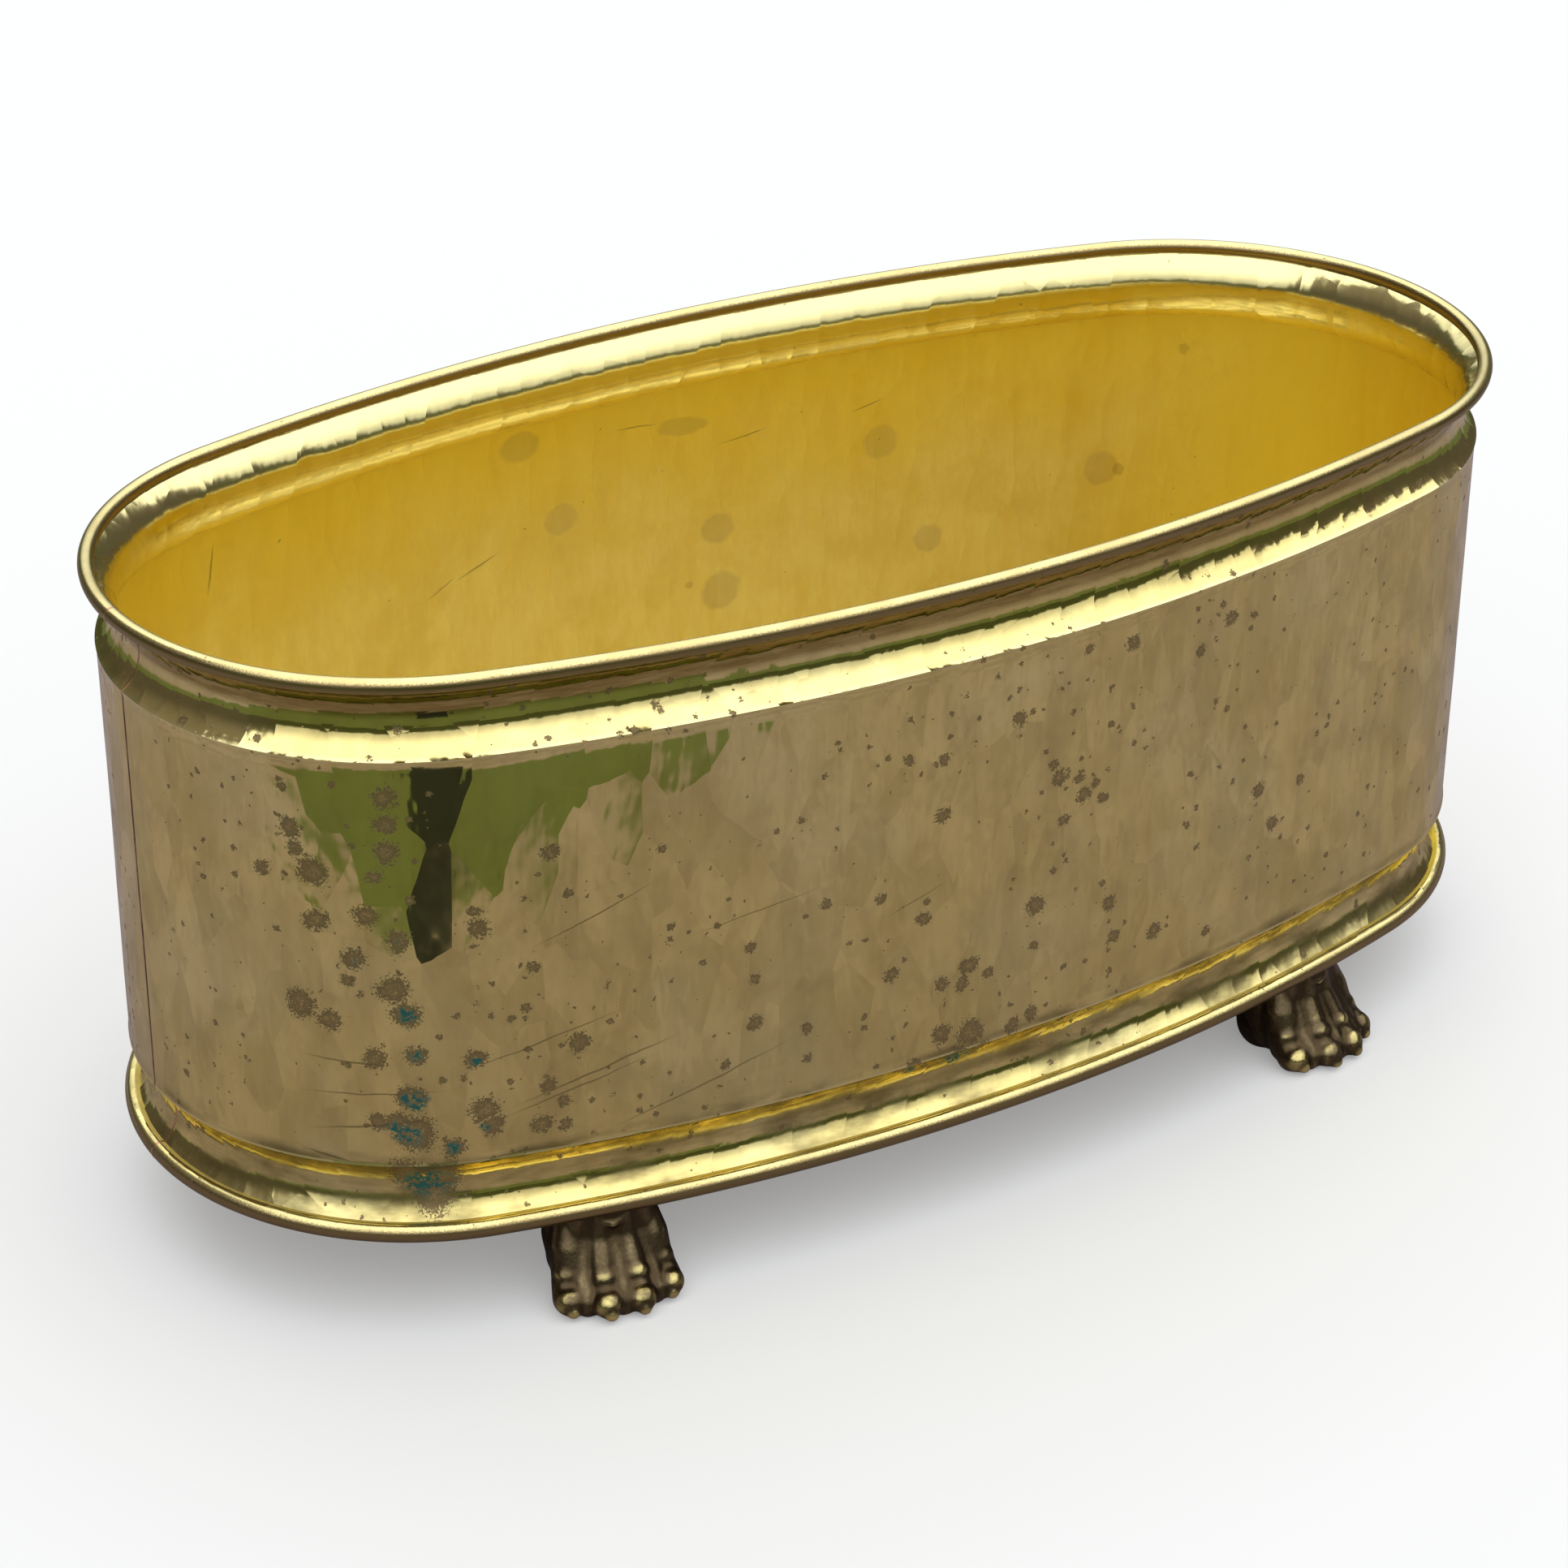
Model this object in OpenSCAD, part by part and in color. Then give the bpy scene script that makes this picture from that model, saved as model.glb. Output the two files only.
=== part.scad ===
// Oval brass planter: a hammered sheet body with a swaged groove and a wired bead along
// each edge, a sheet bottom soldered inside it, and four cast lion-paw feet on screws.
// +Z is up, +X runs along the pot, -Y is the front, and z = 0 is the ground under the paws.

/* [Body plan] */
// Length over the hammered wall
body_l = 397; // [320:1:480]
// Width over the hammered wall
body_w = 186; // [150:1:230]
// Angle that each end's arc turns through, either side of the pot's middle line
join_a = 75; // [66:0.5:84]

/* [Body shell] */
// Thickness of the body sheet
sheet_t = 0.8; // [0.6:0.05:1.2]
// Height of the hammered panel, crease to crease
panel_h = 112; // [80:1:160]
// Outer radius of the swaged grooves
groove_r = 10.6; // [8:0.1:13]
// Half of the angle that a groove's arc covers
groove_a = 60; // [50:1:65]
// How far the creases stand proud of the panel
crease_out = 0.3; // [0:0.05:0.6]

/* [Rolled edges] */
// Diameter of the wire in the rim
rim_wire_d = 2.4; // [1.8:0.1:3.2]
// Diameter of the wire in the base edge
base_wire_d = 3.4; // [2.6:0.1:4.4]
// Clearance between a wire and the sheet rolled round it
wire_gap = 0.05; // [0.02:0.01:0.15]
// How far the rim wire's centre stands outside the panel
rim_out = 0.9; // [0:0.1:1.6]
// Height of the rim wire's centre above its groove
rim_rise = 1.9; // [1.4:0.1:2.4]
// Depth of the base wire's centre below its groove
base_drop = 1.2; // [0.8:0.1:2]
// Angle left open where a rolled edge stops short of its groove
curl_gap_a = 28; // [16:1:40]

/* [Seam] */
// Width of the brazed butt seam at the left end
seam_w = 0.4; // [0.2:0.05:1]

/* [Bottom] */
// Thickness of the bottom plate
plate_t = 0.8; // [0.6:0.05:1.2]
// Height of the bottom plate's upturned flange
flange_h = 3.6; // [3:0.1:4.4]
// Outside radius of the flange's bend
flange_bend = 2; // [1.4:0.1:2.6]
// Clearance between the flange and the base bead
plate_gap = 0.1; // [0.05:0.01:0.3]
// Clearance between the base bead and the plane under the plate
bead_lift = 0.2; // [0.1:0.05:0.5]
// Rise of the solder fillet above the flange
solder_rise = 3.8; // [3:0.1:4.6]

/* [Feet] */
// Height of a paw foot, ground to bottom plate
foot_h = 25; // [20:1:34]
// Distance from the pot's middle to a foot's screw, along the pot
foot_x = 110; // [80:1:135]
// Distance from the panel's face in to a foot's screw
foot_inset = 11; // [10:0.5:16]
// Radius of a foot's ankle
ankle_r = 10.5; // [9:0.5:13]
// Radius of the paw's rounded body
paw_r = 15.5; // [13:0.5:19]
// Reach from the screw to the tips of the middle toes
toe_reach = 20; // [16:0.5:25]
// Spacing of the toes
toe_pitch = 8.6; // [7:0.1:10.5]
// Radius of a toe's tip
toe_r = 4.1; // [3.4:0.1:5]
// Radius of a knuckle
knuckle_r = 4.6; // [3.8:0.1:5.6]
// Radius of a claw
claw_r = 1.6; // [1.2:0.1:2]
// How far the outer toes stand back from the middle ones
toe_back = 4.3; // [2:0.1:6]
// How far a knuckle stands behind its toe's tip
knuckle_back = 5.6; // [4:0.1:7]
// How far a knuckle stands above its toe's tip
knuckle_up = 3.3; // [2:0.1:5]

/* [Fasteners] */
// Diameter of a foot screw
screw_d = 5; // [4:0.5:6]
// Length of a foot screw under its head
screw_l = 14; // [12:1:18]
// Diameter of a screw head
head_d = 9; // [7:0.5:10]
// Height of a screw head
head_h = 3; // [2.4:0.1:3.6]
// Width of the slot in a screw head
slot_w = 1.2; // [0.8:0.1:1.6]
// Depth of the slot in a screw head
slot_deep = 1.3; // [0.8:0.1:1.8]
// Outside diameter of a washer
washer_d = 10; // [9:0.5:12]
// Thickness of a washer
washer_t = 1; // [0.8:0.1:1.6]
// Radial clearance of a screw in its tapped foot
tap_gap = 0.03; // [0.02:0.01:0.1]
// Radial clearance of a screw in the plate and its washer
hole_gap = 0.25; // [0.15:0.05:0.5]
// Depth left in a tapped hole past the screw's end
tap_spare = 1.5; // [1:0.5:3]

/* [Hidden] */
LEFT = -1;
RIGHT = 1;
FRONT = -1;
REAR = 1;
CORNERS = [
    ["front_left", LEFT, FRONT],
    ["front_right", RIGHT, FRONT],
    ["rear_left", LEFT, REAR],
    ["rear_right", RIGHT, REAR]
];

BRASS = "goldenrod";
DARK_BRASS = "darkgoldenrod";
SOLDER = "silver";
STEEL = "slategray";
COPPER = "sienna";

ROUND_FN = 48;
SWEEP_FN = 360;
OUTLINE_FN = 60;
cut = 1;
big = 1000;

// Four-centre oval: two end arcs of end_r and two side arcs of side_r, tangent at join_a
half_l = body_l / 2;
half_w = body_w / 2;
centres = (half_l - half_w) / (sin(join_a) + cos(join_a) - 1);
end_c = centres * cos(join_a);
side_c = centres * sin(join_a);
end_r = half_l - end_c;
side_r = half_w + side_c;

// Levels, from the ground up
base_bead_r = base_wire_d / 2 + wire_gap + sheet_t;
rim_bead_r = rim_wire_d / 2 + wire_gap + sheet_t;
groove_h = 2 * groove_r * sin(groove_a);
groove_out = groove_r * cos(groove_a) + crease_out;
base_wire_z = foot_h + bead_lift + base_bead_r;
base_crease_z = base_wire_z + base_drop + groove_h;
rim_crease_z = base_crease_z + panel_h;
rim_wire_z = rim_crease_z + groove_h + rim_rise;
top_z = rim_wire_z + rim_bead_r;
base_groove_z = base_crease_z - groove_h / 2;
rim_groove_z = rim_crease_z + groove_h / 2;

// Direction, seen from a wire, in which its rolled edge is left open
rim_gap_dir = 270;
base_gap_dir = 225;

// Offsets of the bottom plate's edge from the panel's face
flange_out = -base_bead_r - plate_gap;
flange_in = flange_out - plate_t;
plate_rim = 6;
plate_lap = flange_out - (plate_rim + flange_bend) / 2;
flange_top_z = foot_h + flange_h;
solder_run = 1.2;

// Fastener levels
plate_top_z = foot_h + plate_t;
head_z = plate_top_z + washer_t;
screw_end_z = head_z - screw_l;
tap_deep = foot_h - screw_end_z + tap_spare;

// A paw's shape: the middle of its rounded body, how far a toe's ball is cut off by the
// ground, and how much closer together the knuckles stand than the toes
paw_ahead = 1.5;
paw_z = 0.42 * foot_h;
toe_cut = 0.3;
knuckle_close = 0.86;
outer_toe = 1.5;

// Turn of the end arc that the seam's filling is cut from
seam_turn = 10;

// Places along the outline that lies off outside the panel, for a point at distance x
// from the middle: on a side arc up to the join, and on an end arc past it
function join_x(off) = end_c + (end_r + off) * cos(join_a);
function turn_at(x, off) = x > join_x(off) ? asin((x - end_c) / (end_r + off)) : asin(x / (side_r + off));
function depth_at(x, off) =
    x > join_x(off)
    ? (end_r + off) * cos(turn_at(x, off))
    : (side_r + off) * cos(turn_at(x, off)) - side_c;

// Points of the outline that lies off outside the panel, going round once
function arc_points(cx, cy, r, from, to, n) =
    [for (i = [0 : n - 1]) let (a = from + (to - from) * i / n) [cx + r * cos(a), cy + r * sin(a)]];
function outline_points(off, n) = concat(
    arc_points(end_c, 0, end_r + off, -join_a, join_a, n),
    arc_points(0, -side_c, side_r + off, join_a, 180 - join_a, n),
    arc_points(-end_c, 0, end_r + off, 180 - join_a, 180 + join_a, n),
    arc_points(0, side_c, side_r + off, 180 + join_a, 360 - join_a, n)
);

// Moves by a whole number of microns and then by what is left, so that the arcs' ends
// keep every digit of their place and meet face to face
module shift(by) {
    microns = [for (v = by) round(v * 1000) / 1000];
    translate(microns)
        translate(by - microns)
            children();
}

// Sweeps a section round the oval: the section's x is the distance outside the panel's
// face, and its y is the height
module sweep_round() {
    for (half_turn = [0, 180]) {
        rotate([0, 0, half_turn])
            shift([end_c, 0, 0])
                rotate_extrude(angle = 2 * join_a, start = -join_a, $fn = SWEEP_FN)
                    shift([end_r, 0])
                        children();
        rotate([0, 0, half_turn])
            shift([0, -side_c, 0])
                rotate_extrude(angle = 180 - 2 * join_a, start = join_a, $fn = 4 * SWEEP_FN)
                    shift([side_r, 0])
                        children();
    }
}

// Section of one swaged groove, bulging into the pot
module groove_section(groove_z) {
    reach = 2 * groove_r;
    translate([groove_out, groove_z])
        intersection() {
            difference() {
                circle(groove_r + sheet_t, $fn = 4 * ROUND_FN);
                circle(groove_r, $fn = 4 * ROUND_FN);
            }
            polygon([[0, 0], [-reach, reach * tan(groove_a)], [-reach, -reach * tan(groove_a)]]);
        }
}

// Section of one rolled edge, open along gap_dir
module bead_section(out, wire_z, bead_r, gap_dir) {
    reach = 2 * bead_r;
    from = gap_dir - curl_gap_a / 2;
    to = gap_dir + curl_gap_a / 2;
    translate([out, wire_z])
        difference() {
            circle(bead_r, $fn = ROUND_FN);
            polygon([[0, 0], reach * [cos(from), sin(from)], reach * [cos(to), sin(to)]]);
        }
}

module wire_section(out, wire_z, wire_r) {
    translate([out, wire_z])
        circle(wire_r, $fn = ROUND_FN);
}

module shell_section() {
    difference() {
        union() {
            translate([-sheet_t, base_crease_z])
                square([sheet_t, panel_h]);
            groove_section(base_groove_z);
            groove_section(rim_groove_z);
            bead_section(rim_out, rim_wire_z, rim_bead_r, rim_gap_dir);
            bead_section(0, base_wire_z, base_bead_r, base_gap_dir);
        }
        wire_section(rim_out, rim_wire_z, rim_wire_d / 2 + wire_gap);
        wire_section(0, base_wire_z, base_wire_d / 2 + wire_gap);
    }
}

// The slice of the left end that the seam takes up
module seam_slice() {
    reach = groove_out + groove_r + sheet_t;
    translate([-half_l - reach, -seam_w / 2, 0])
        cube([2 * reach, seam_w, top_z + cut]);
}

module body_shell() {
    color(BRASS)
        difference() {
            sweep_round()
                shell_section();
            seam_slice();
        }
}

module seam_braze() {
    color(COPPER)
        intersection() {
            translate([-end_c, 0, 0])
                rotate_extrude(angle = seam_turn, start = 180 - seam_turn / 2, $fn = SWEEP_FN)
                    translate([end_r, 0])
                        shell_section();
            seam_slice();
        }
}

module rim_wire() {
    color(STEEL)
        sweep_round()
            wire_section(rim_out, rim_wire_z, rim_wire_d / 2);
}

module base_wire() {
    color(STEEL)
        sweep_round()
            wire_section(0, base_wire_z, base_wire_d / 2);
}

// Section of the bottom plate's edge: a flat strip, a bend and a short upright flange
module plate_edge_section() {
    translate([flange_out - plate_rim, foot_h])
        square([plate_rim - flange_bend, plate_t]);
    translate([flange_in, foot_h + flange_bend])
        square([plate_t, flange_h - flange_bend]);
    translate([flange_out - flange_bend, foot_h + flange_bend])
        intersection() {
            difference() {
                circle(flange_bend, $fn = ROUND_FN);
                circle(flange_bend - plate_t, $fn = ROUND_FN);
            }
            translate([0, -flange_bend])
                square(flange_bend);
        }
}

module base_plate() {
    color(DARK_BRASS)
        difference() {
            union() {
                sweep_round()
                    plate_edge_section();
                translate([0, 0, foot_h])
                    linear_extrude(plate_t)
                        polygon(outline_points(plate_lap, OUTLINE_FN));
            }
            for (c = CORNERS)
                at_corner(c)
                    translate([0, 0, foot_h - cut])
                        cylinder(r = screw_d / 2 + hole_gap, h = plate_t + 2 * cut, $fn = ROUND_FN);
        }
}

// Solder run between the flange's top and the groove's inner face
module plate_solder() {
    color(SOLDER)
        sweep_round()
            difference() {
                polygon([
                    [flange_out, flange_top_z],
                    [flange_out, flange_top_z + solder_rise],
                    [flange_in - solder_run, flange_top_z + solder_rise],
                    [flange_in, flange_top_z]
                ]);
                translate([groove_out, base_groove_z])
                    circle(groove_r + sheet_t, $fn = 4 * ROUND_FN);
            }
}

// Puts a foot's parts at their corner, turned so that -Y faces straight out of the body
module at_corner(corner) {
    turn = turn_at(foot_x, -foot_inset);
    heading = corner[2] == FRONT ? corner[1] * turn : 180 - corner[1] * turn;
    translate([corner[1] * foot_x, corner[2] * depth_at(foot_x, -foot_inset), 0])
        rotate([0, 0, heading])
            children();
}

// One toe: side is its place across the paw in toe pitches, from -outer_toe to outer_toe
module toe(side) {
    inner_toe = outer_toe - 1;
    back = toe_back * (side * side - inner_toe * inner_toe) / (outer_toe * outer_toe - inner_toe * inner_toe);
    tip = [side * toe_pitch, back - toe_reach, toe_r - toe_cut];
    translate(tip)
        sphere(toe_r, $fn = ROUND_FN);
    translate([tip[0] * knuckle_close, tip[1] + knuckle_back, tip[2] + knuckle_up])
        sphere(knuckle_r, $fn = ROUND_FN);
    translate([tip[0], tip[1] - toe_r, claw_r])
        sphere(claw_r, $fn = ROUND_FN);
}

module paw_foot() {
    color(DARK_BRASS)
        difference() {
            union() {
                translate([0, 0, foot_h / 2])
                    cylinder(r = ankle_r, h = foot_h / 2, $fn = 2 * ROUND_FN);
                translate([0, -paw_ahead, paw_z])
                    sphere(paw_r, $fn = 2 * ROUND_FN);
                for (side = [-outer_toe : outer_toe])
                    toe(side);
            }
            translate([-big / 2, -big / 2, -big])
                cube(big);
            translate([-big / 2, -big / 2, foot_h])
                cube(big);
            translate([0, 0, foot_h - tap_deep])
                cylinder(r = screw_d / 2 + tap_gap, h = tap_deep + cut, $fn = ROUND_FN);
        }
}

module foot_screw() {
    dome_r = (head_d * head_d / 4 + head_h * head_h) / (2 * head_h);
    color(BRASS)
        difference() {
            union() {
                translate([0, 0, screw_end_z])
                    cylinder(r = screw_d / 2, h = screw_l + head_h / 3, $fn = ROUND_FN);
                intersection() {
                    translate([0, 0, head_z + head_h - dome_r])
                        sphere(dome_r, $fn = 2 * ROUND_FN);
                    translate([0, 0, head_z])
                        cylinder(r = head_d, h = head_h + cut, $fn = ROUND_FN);
                }
            }
            translate([-head_d, -slot_w / 2, head_z + head_h - slot_deep])
                cube([2 * head_d, slot_w, slot_deep + cut]);
        }
}

module foot_washer() {
    color(BRASS)
        translate([0, 0, plate_top_z])
            difference() {
                cylinder(r = washer_d / 2, h = washer_t, $fn = ROUND_FN);
                translate([0, 0, -cut])
                    cylinder(r = screw_d / 2 + hole_gap, h = washer_t + 2 * cut, $fn = ROUND_FN);
            }
}

body_shell();
seam_braze();
rim_wire();
base_wire();
base_plate();
plate_solder();
for (c = CORNERS) {
    at_corner(c) paw_foot();
    at_corner(c) foot_screw();
    at_corner(c) foot_washer();
}
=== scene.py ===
from math import acos, atan2, cos, degrees, hypot, pi, radians, sin

import bmesh
import bpy
from mathutils import Matrix, Vector, noise


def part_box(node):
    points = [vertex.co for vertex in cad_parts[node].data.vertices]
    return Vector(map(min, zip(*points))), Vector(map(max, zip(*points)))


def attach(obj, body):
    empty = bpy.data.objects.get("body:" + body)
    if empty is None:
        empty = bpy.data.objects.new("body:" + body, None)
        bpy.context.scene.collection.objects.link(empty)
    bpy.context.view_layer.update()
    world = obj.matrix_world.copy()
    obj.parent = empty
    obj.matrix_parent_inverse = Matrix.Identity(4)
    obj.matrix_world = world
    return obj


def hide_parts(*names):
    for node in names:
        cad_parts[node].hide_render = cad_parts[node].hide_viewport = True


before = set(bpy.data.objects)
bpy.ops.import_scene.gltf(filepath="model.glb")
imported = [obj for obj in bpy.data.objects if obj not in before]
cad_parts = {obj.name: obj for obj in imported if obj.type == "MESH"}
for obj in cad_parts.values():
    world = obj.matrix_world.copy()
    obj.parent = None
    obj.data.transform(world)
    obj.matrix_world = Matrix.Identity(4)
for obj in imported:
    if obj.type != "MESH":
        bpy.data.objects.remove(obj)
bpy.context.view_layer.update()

# An oval brass planter: one hammered sheet with a swaged groove and a rolled, wired bead
# along each edge, brazed up at the left end, a soldered bottom plate and four cast paws.
# +X runs along the pot, -Y is its front, and z = 0 is the ground under the paws.

MM = 0.001
UP = Vector((0, 0, 1))
ROOT = "root"
CORNERS = ("front_left", "front_right", "rear_left", "rear_right")

# ---------------------------------------------------------------- sizes, from the frame

base_wire_lo, base_wire_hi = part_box("base_wire")
rim_wire_lo, rim_wire_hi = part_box("rim_wire")
shell_lo, shell_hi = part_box("body_shell")

BASE_WIRE_R = (base_wire_hi.z - base_wire_lo.z) / 2
RIM_WIRE_R = (rim_wire_hi.z - rim_wire_lo.z) / 2
BASE_WIRE_Z = base_wire_lo.z + BASE_WIRE_R
RIM_WIRE_Z = rim_wire_lo.z + RIM_WIRE_R
HALF_L = base_wire_hi.x - BASE_WIRE_R
HALF_W = base_wire_hi.y - BASE_WIRE_R
RIM_OUT = rim_wire_hi.x - RIM_WIRE_R - HALF_L
RIM_BEAD_R = shell_hi.z - RIM_WIRE_Z
BASE_BEAD_R = BASE_WIRE_Z - shell_lo.z

# The sheet and its swaged grooves. GROOVE_HALF is half of a groove's arc, in degrees
WIRE_GAP = 0.05 * MM
SHEET = RIM_BEAD_R - RIM_WIRE_R - WIRE_GAP
GROOVE_R = 10.6 * MM
GROOVE_HALF = 60
CREASE_OUT = 0.3 * MM
CREASE_EASE = 1.4 * MM
RIM_RISE = 1.9 * MM
BASE_DROP = 1.2 * MM
GROOVE_H = 2 * GROOVE_R * sin(radians(GROOVE_HALF))
GROOVE_X = GROOVE_R * cos(radians(GROOVE_HALF)) + CREASE_OUT
RIM_CREASE_Z = RIM_WIRE_Z - RIM_RISE - GROOVE_H
BASE_CREASE_Z = BASE_WIRE_Z + BASE_DROP + GROOVE_H
SEAM_W = 0.4 * MM

# Directions, in degrees from straight out, where the rolled edges stop
RIM_CURL_END = -76
BASE_CURL_END = -121
BASE_CURL_START = 211

# The oval: two end arcs and two side arcs, tangent where an end arc has turned by JOIN
JOIN = radians(75)
SPREAD = (HALF_L - HALF_W) / (sin(JOIN) + cos(JOIN) - 1)
END_C = SPREAD * cos(JOIN)
SIDE_C = SPREAD * sin(JOIN)
END_R = HALF_L - END_C
SIDE_R = HALF_W + SIDE_C
SIDE_HALF = pi / 2 - JOIN
END_RUN = END_R * JOIN
SIDE_RUN = SIDE_R * SIDE_HALF * 2
FULL_RUN = 4 * END_RUN + 2 * SIDE_RUN

# Spacing of the sheet's mesh along the oval
STEP = 1.95 * MM

# The hammer's marks: their width, how much a tall mark is squashed, and the depth they shade
HAMMER_W = 8.5 * MM
HAMMER_SQUASH = 0.42
HAMMER_DEPTH = 0.42 * MM

# Dents in the mesh itself: the forming's long and short waves, and the hammer's flats
LONG_WAVE, LONG_WAVE_DEPTH = 70 * MM, 0.20 * MM
SHORT_WAVE, SHORT_WAVE_DEPTH = 26 * MM, 0.07 * MM
FLAT_W, FLAT_DEPTH = 6.5 * MM, 0.075 * MM
PANEL_EASE = 4 * MM
GROOVE_SHARE = 0.45

# The feet
FOOT_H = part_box("base_plate")[0].z
PAW_VOXEL = 0.42 * MM
DEEPEST_HOLLOW = 0.45 * MM
TOE_CURVE = 2.15


# ---------------------------------------------------------------- shared mesh helpers

def finished(bm, name, *materials):
    """Turns a bmesh into an object at the origin, smooth but sharp at its creases"""
    mesh = bpy.data.meshes.new(name)
    bm.to_mesh(mesh)
    bm.free()
    for material in materials:
        mesh.materials.append(material)
    mesh.shade_smooth()
    mesh.set_sharp_from_angle(angle=radians(38))
    piece = bpy.data.objects.new(name, mesh)
    bpy.context.scene.collection.objects.link(piece)
    return piece


def baked(bm, name, kind, **settings):
    """Runs one modifier over a bmesh and returns the result as a new bmesh"""
    piece = finished(bm, name)
    modifier = piece.modifiers.new(kind.lower(), kind)
    for key, value in settings.items():
        setattr(modifier, key, value)
    done = piece.evaluated_get(bpy.context.evaluated_depsgraph_get())
    result = bmesh.new()
    result.from_mesh(done.to_mesh())
    done.to_mesh_clear()
    mesh = piece.data
    bpy.data.objects.remove(piece)
    bpy.data.meshes.remove(mesh)
    return result


def relax(bm, rounds):
    """Smooths every point towards its neighbours"""
    for _ in range(rounds):
        bmesh.ops.smooth_vert(
            bm, verts=bm.verts[:], factor=0.5,
            use_axis_x=True, use_axis_y=True, use_axis_z=True,
        )


def cut_flat(bm, height, keep_above):
    """Cuts a shape off flat at a height and closes the cut"""
    cut = bmesh.ops.bisect_plane(
        bm, geom=bm.verts[:] + bm.edges[:] + bm.faces[:], dist=1e-6,
        plane_co=UP * height, plane_no=UP,
        clear_inner=keep_above, clear_outer=not keep_above,
    )
    rim = [e for e in cut["geom_cut"] if isinstance(e, bmesh.types.BMEdge)]
    bmesh.ops.edgeloop_fill(bm, edges=rim)


# ---------------------------------------------------------------- the sheet

def arc(centre, radius, start, end, count):
    """Points of an arc in the section's plane, angles in degrees from straight out"""
    turns = [radians(start + (end - start) * i / count) for i in range(count + 1)]
    return [(centre[0] + radius * cos(a), centre[1] + radius * sin(a)) for a in turns]


def crossing(centre, radius, other, other_radius, side):
    """Angle, about the first circle's centre, at which two circles cross"""
    run, rise = other[0] - centre[0], other[1] - centre[1]
    gap = hypot(run, rise)
    swing = acos((radius ** 2 + gap ** 2 - other_radius ** 2) / (2 * radius * gap))
    return degrees(atan2(rise, run) + side * swing)


def panel_rows(out, low, high, count):
    return [(out, low + (high - low) * i / count) for i in range(count + 1)]


def sheet_section(swell=0.0):
    """The sheet's section as one closed loop: up its outer face, then down its inner one.
    A point is its distance outside the panel's face and its height. swell thickens it."""
    base, rim = (0, BASE_WIRE_Z), (RIM_OUT, RIM_WIRE_Z)
    base_groove = (GROOVE_X, BASE_CREASE_Z - GROOVE_H / 2)
    rim_groove = (GROOVE_X, RIM_CREASE_Z + GROOVE_H / 2)
    low, high = 180 + GROOVE_HALF, 180 - GROOVE_HALF
    outer, inner = GROOVE_R - swell, GROOVE_R + SHEET + swell
    base_r, rim_r = BASE_BEAD_R + swell, RIM_BEAD_R + swell
    inner_low = 180 + degrees(acos((GROOVE_X + SHEET + swell) / inner))
    inner_high = 360 - inner_low

    base_meet = crossing(base, base_r, base_groove, outer, 1)
    groove_meet = 360 + crossing(base_groove, outer, base, base_r, -1)
    outside = arc(base, base_r, BASE_CURL_END, base_meet, 18)
    outside += arc(base_groove, outer, groove_meet, high, 13)
    outside += panel_rows(swell, BASE_CREASE_Z + CREASE_EASE, RIM_CREASE_Z - CREASE_EASE, 42)
    outside += arc(rim_groove, outer, low, high, 13)

    rim_wire_side = arc(rim, RIM_WIRE_R + WIRE_GAP, low, RIM_CURL_END, 9)
    rim_meet = 360 + crossing(rim, rim_r, rim_groove, inner, -1)

    groove_top = crossing(rim_groove, inner, rim, rim_r, 1)
    groove_foot = 360 + crossing(base_groove, inner, base, base_r, -1)
    base_foot = crossing(base, base_r, base_groove, inner, 1)
    face = -SHEET - swell
    inside = arc(rim, rim_r, RIM_CURL_END, rim_meet, 20)
    inside += arc(rim_groove, inner, groove_top, inner_low, 10)
    inside += panel_rows(face, RIM_CREASE_Z - CREASE_EASE, BASE_CREASE_Z + CREASE_EASE, 22)
    inside += arc(base_groove, inner, inner_high, groove_foot, 9)
    inside += arc(base, base_r, base_foot, BASE_CURL_START, 5)

    base_wire_side = arc(base, BASE_WIRE_R + WIRE_GAP, BASE_CURL_START, BASE_CURL_END, 9)
    return outside + rim_wire_side + inside + base_wire_side


def section_ring(bm, points, turn):
    """Draws a section's loop on the left end, turned on round that end from the seam"""
    place = Matrix.Translation((-END_C, 0, 0)) @ Matrix.Rotation(turn, 4, "Z")
    ring = [bm.verts.new(place @ Vector((-END_R - out, 0, up))) for out, up in points]
    edges = [bm.edges.new((a, b)) for a, b in zip(ring, ring[1:] + ring[:1])]
    return ring + edges


def spin(bm, ring, centre, turn, steps):
    """Spins a ring on round an upright axis and returns the ring that it ends in"""
    spun = bmesh.ops.spin(
        bm, geom=ring, cent=centre, axis=UP, dvec=(0, 0, 0), angle=turn, steps=steps,
        use_merge=False, use_duplicate=False,
    )
    return spun["geom_last"]


def close_ends(bm):
    """Closes the two ends of a sweep and turns every face outwards"""
    bmesh.ops.edgeloop_fill(bm, edges=[e for e in bm.edges if e.is_boundary])
    bmesh.ops.recalc_face_normals(bm, faces=bm.faces[:])


def plan_place(x, y):
    """How far a point lies along the oval from the seam, and the way straight out there"""
    side = -1 if y < 0 else 1
    swing = atan2(x, SIDE_C + abs(y))
    if abs(swing) < SIDE_HALF:
        out = Vector((x, y + side * SIDE_C, 0)).normalized()
        along = END_RUN + SIDE_R * (swing + SIDE_HALF)
        return (along if side < 0 else FULL_RUN - along), out
    end = -1 if x < 0 else 1
    out = Vector((x - end * END_C, y, 0)).normalized()
    turn = atan2(y, end * (x - end * END_C))
    if end > 0:
        return 2 * END_RUN + SIDE_RUN + END_R * turn, out
    return (-END_R * turn if turn < 0 else FULL_RUN - END_R * turn), out


def ripple(place, size):
    return noise.noise(place / size)


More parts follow.
